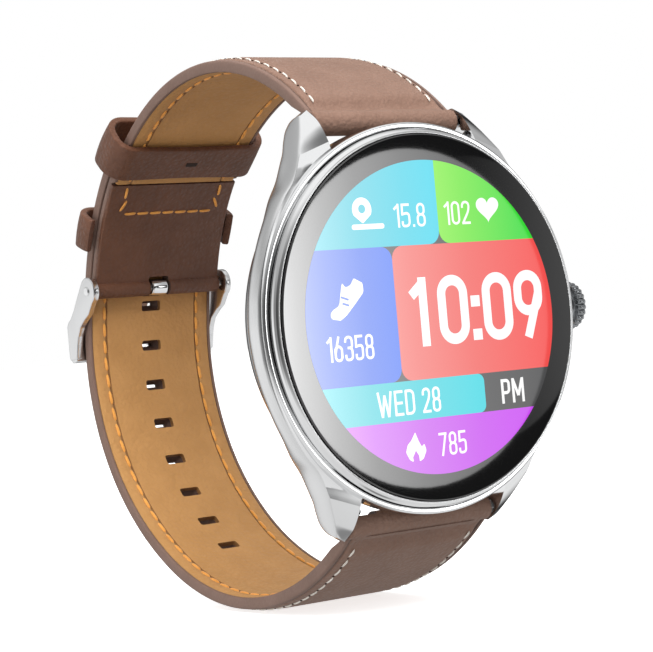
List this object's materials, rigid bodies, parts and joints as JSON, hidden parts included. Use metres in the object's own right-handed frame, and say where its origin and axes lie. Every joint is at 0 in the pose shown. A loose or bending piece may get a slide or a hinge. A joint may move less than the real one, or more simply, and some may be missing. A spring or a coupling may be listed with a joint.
{
  "type": "smartwatch",
  "caption": "Round smartwatch with a polished steel case, turning and pressing side crown, and a buckled brown leather strap closed in a loop.",
  "frame": {"origin": "middle of the wrist space inside the closed strap, level with the dial centre", "axes": "+Z towards 12 o'clock, -Y out of the dial, +X towards the crown at 3 o'clock"},
  "size_m": [0.0488, 0.0665, 0.0677],
  "materials": {
    "polished_steel": "mirror-polished stainless steel",
    "satin_steel": "fine satin brushed stainless steel",
    "dark_steel": "polished, darker tinted steel",
    "cover_glass": "polished dark glass over the dial",
    "display": "smooth display module with coloured tiles",
    "black_plastic": "fine matte moulded plastic",
    "rubber_seal": "plain black seal rubber",
    "circuit_board": "solder-masked board",
    "battery_foil": "soft satin foil pouch",
    "copper_flex": "amber polyimide over copper",
    "gold_contact": "polished gold plating",
    "strap_leather": "taupe brown leather with a fine grain, cream stitching",
    "strap_lining": "smooth tan lining leather, orange stitching",
    "keeper_leather": "dark brown folded leather"
  },
  "bodies": {
    "root": {"case_body": "satin_steel", "bezel_ring": "polished_steel", "cover_glass": "cover_glass", "glass_gasket": "rubber_seal", "display_panel": "display", "display_flex": "copper_flex", "inner_frame": "black_plastic", "main_board": "circuit_board", "battery": "battery_foil", "processor_shield": "satin_steel", "memory_chip": "black_plastic", "vibration_motor": "satin_steel", "speaker": "black_plastic", "microphone": "gold_contact", "back_cover": "black_plastic", "back_gasket": "rubber_seal", "sensor_window": "cover_glass", "sensor_board": "circuit_board", "charge_contact_1": "gold_contact", "charge_contact_2": "gold_contact", "back_screw_1": "satin_steel", "back_screw_2": "satin_steel", "back_screw_3": "satin_steel", "back_screw_4": "satin_steel", "crown_tube": "polished_steel", "crown_seal": "rubber_seal", "crown_switch": "black_plastic", "buckle_strap_leather": "strap_leather", "buckle_strap_lining": "strap_lining", "long_strap_leather": "strap_leather", "long_strap_lining": "strap_lining", "upper_spring_bar": "satin_steel", "upper_bar_spring": "satin_steel", "lower_spring_bar": "satin_steel", "lower_bar_spring": "satin_steel", "buckle_bar": "satin_steel", "fixed_keeper": "keeper_leather"},
    "crown_rotor": {"crown_encoder_ring": "dark_steel"},
    "crown_button": {"crown_knob": "dark_steel", "crown_stem": "polished_steel", "crown_clip": "polished_steel"},
    "upper_release": {"upper_release_lever": "dark_steel"},
    "lower_release": {"lower_release_lever": "dark_steel"},
    "buckle": {"buckle_frame": "satin_steel"},
    "tongue": {"buckle_tongue": "polished_steel"},
    "keeper": {"free_keeper": "keeper_leather"}
  },
  "joints": [
    {"name": "crown_spin", "type": "hinge", "parent": "root", "child": "crown_rotor", "pos_m": [0.02, -0.0309, 0], "axis": [1, 0, 0], "continuous": true},
    {"name": "crown_press", "type": "slide", "parent": "crown_rotor", "child": "crown_button", "axis": [-1, 0, 0], "range_m": [0, 0.00035], "stiffness_N_per_m": 600, "springref_m": -0.0005},
    {"name": "upper_release", "type": "slide", "parent": "root", "child": "upper_release", "axis": [-1, 0, 0], "range_m": [0, 0.0012], "stiffness_N_per_m": 400, "springref_m": -0.0005},
    {"name": "lower_release", "type": "slide", "parent": "root", "child": "lower_release", "axis": [1, 0, 0], "range_m": [0, 0.0012], "stiffness_N_per_m": 400, "springref_m": -0.0005},
    {"name": "buckle_swing", "type": "hinge", "parent": "root", "child": "buckle", "pos_m": [0, 0.02467, 0.00769], "axis": [1, 0, 0], "range_deg": [0, 6]},
    {"name": "tongue_swing", "type": "hinge", "parent": "buckle", "child": "tongue", "pos_m": [0, 0.02467, 0.00769], "axis": [1, 0, 0], "range_deg": [0, 4]},
    {"name": "keeper_slide", "type": "hinge", "parent": "root", "child": "keeper", "pos_m": [0, -0.0069, 0.0004], "axis": [1, 0, 0], "range_deg": [-8, 8]}
  ]
}
